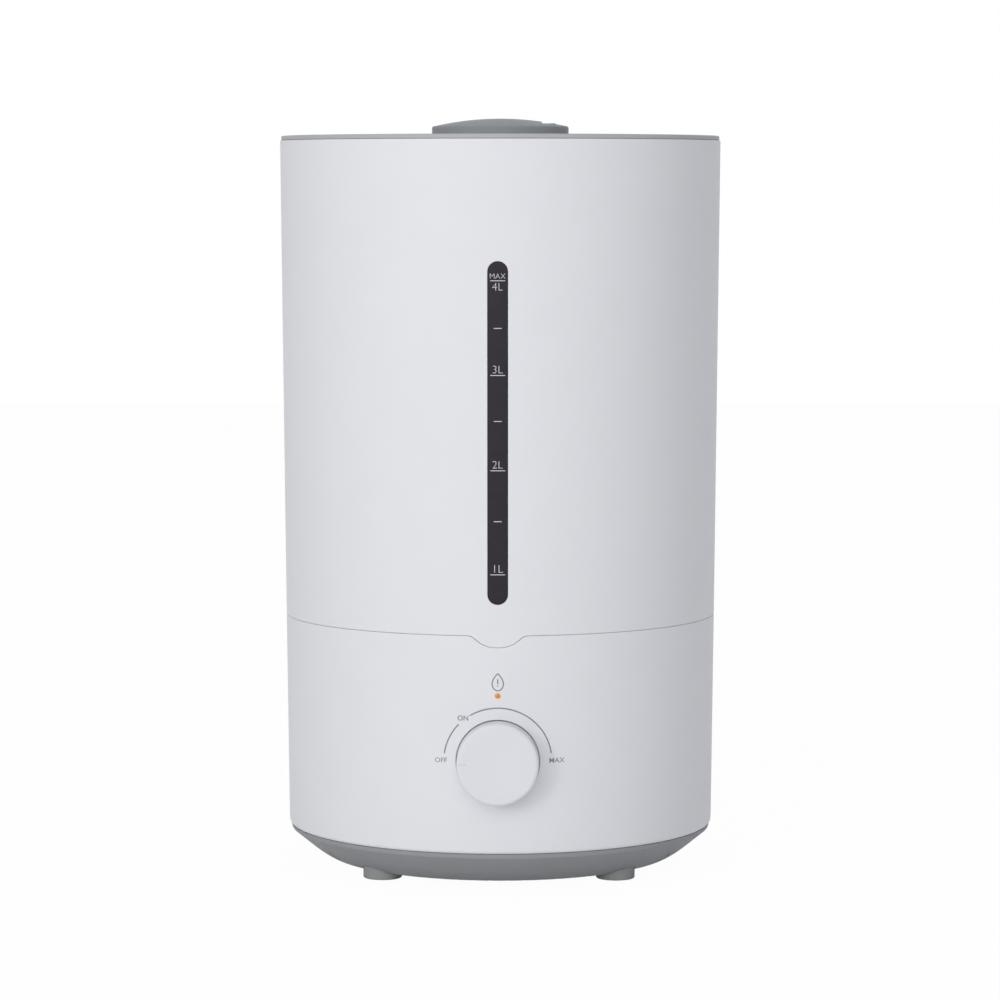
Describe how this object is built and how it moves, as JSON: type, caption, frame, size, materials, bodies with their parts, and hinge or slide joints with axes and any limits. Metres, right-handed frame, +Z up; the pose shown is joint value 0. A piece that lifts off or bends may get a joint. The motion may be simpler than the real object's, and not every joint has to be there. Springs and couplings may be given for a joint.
{
  "type": "cool mist humidifier",
  "caption": "Tall round ultrasonic humidifier: base with basin, fan and dial, lift-off tank with level window, lift-off lid and turning mist nozzle.",
  "frame": {"origin": "on the table, under the middle of the overall box, knob included; the axis of the round body stands 3.7 mm behind it", "axes": "+Z up along the body's axis; -Y is the front with the dial; +X is the right-hand side seen from the front"},
  "size_m": [0.19, 0.1974, 0.3223],
  "materials": {
    "white_shell": "satin moulded, fine spark texture",
    "grey_pan": "satin",
    "light_grey_lid": "satin",
    "grey_cap": "satin",
    "smoke_window": "polished smoke tint",
    "basin_plastic": "satin",
    "white_inner": "satin",
    "rubber": "matte",
    "black_rubber": "matte",
    "black_plastic": "matte",
    "steel": "zinc plated",
    "aluminium": "as machined",
    "ceramic_disc": "fired silver electrode",
    "copper": "enamelled wire",
    "circuit_board": "solder mask",
    "yellow_tape": "winding tape",
    "capacitor_sleeve": "shrink sleeve",
    "zinc": "die cast",
    "amber_light": "translucent",
    "lead_sleeve": "smooth"
  },
  "bodies": {
    "base": {"rubber_feet": "rubber", "base_pan": "grey_pan", "pan_screws": "steel", "base_housing": "white_shell", "cord_gland": "black_rubber", "water_basin": "basin_plastic", "basin_gasket": "rubber", "basin_screws": "steel", "transducer_disc": "ceramic_disc", "transducer_seal": "rubber", "transducer_clamp": "aluminium", "clamp_screws": "steel", "inlet_filter": "black_plastic", "fan_frame": "black_plastic", "fan_screws": "steel", "fan_motor": "copper", "air_duct": "basin_plastic", "duct_gasket": "rubber", "float_post_cap": "light_grey_lid", "level_sensor": "black_plastic", "driver_board": "circuit_board", "heat_sink": "aluminium", "driver_coil": "copper", "power_board": "circuit_board", "transformer": "yellow_tape", "smoothing_capacitors": "capacitor_sleeve", "mains_terminal": "white_inner", "board_screws": "steel", "potentiometer": "zinc", "bushing_nut": "steel", "indicator_board": "circuit_board", "indicator_diode": "amber_light", "indicator_lens": "amber_light", "transducer_lead": "lead_sleeve", "fan_lead": "lead_sleeve", "dial_lead": "lead_sleeve", "indicator_lead": "lead_sleeve"},
    "fan": {"fan_impeller": "black_plastic"},
    "float": {"float_ring": "white_inner", "float_magnet": "steel"},
    "dial": {"dial_shaft": "steel", "control_knob": "white_shell"},
    "tank": {"tank_shell": "white_shell", "water_window": "smoke_window", "tank_floor": "basin_plastic", "mist_tube": "basin_plastic", "tube_seal": "rubber", "valve_body": "white_inner", "valve_gasket": "rubber", "valve_cage": "light_grey_lid", "valve_spring": "steel"},
    "valve": {"valve_plunger": "white_inner", "valve_washer": "rubber"},
    "lid": {"tank_lid": "light_grey_lid", "lid_seal": "rubber"},
    "nozzle": {"nozzle_cap": "grey_cap", "nozzle_baffle": "grey_cap"}
  },
  "joints": [
    {"name": "dial_turn", "type": "hinge", "parent": "base", "child": "dial", "pos_m": [0, -0.08869, 0.056], "axis": [0, 1, 0], "range_deg": [0, 180]},
    {"name": "fan_spin", "type": "hinge", "parent": "base", "child": "fan", "pos_m": [0.046, 0.00371, 0.0165], "axis": [0, 0, 1], "continuous": true},
    {"name": "float_rise", "type": "slide", "parent": "base", "child": "float", "axis": [0, 0, 1], "range_m": [0, 0.007]},
    {"name": "tank_lift", "type": "slide", "parent": "base", "child": "tank", "axis": [0, 0, 1], "range_m": [0, 0.06]},
    {"name": "valve_press", "type": "slide", "parent": "tank", "child": "valve", "axis": [0, 0, 1], "range_m": [0, 0.002], "stiffness_N_per_m": 150, "springref_m": -0.004, "deforming": ["valve_spring"]},
    {"name": "lid_lift", "type": "slide", "parent": "tank", "child": "lid", "axis": [0, 0, 1], "range_m": [0, 0.04]},
    {"name": "nozzle_turn", "type": "hinge", "parent": "lid", "child": "nozzle", "pos_m": [0, 0.00371, 0.3152], "axis": [0, 0, 1], "continuous": true}
  ]
}
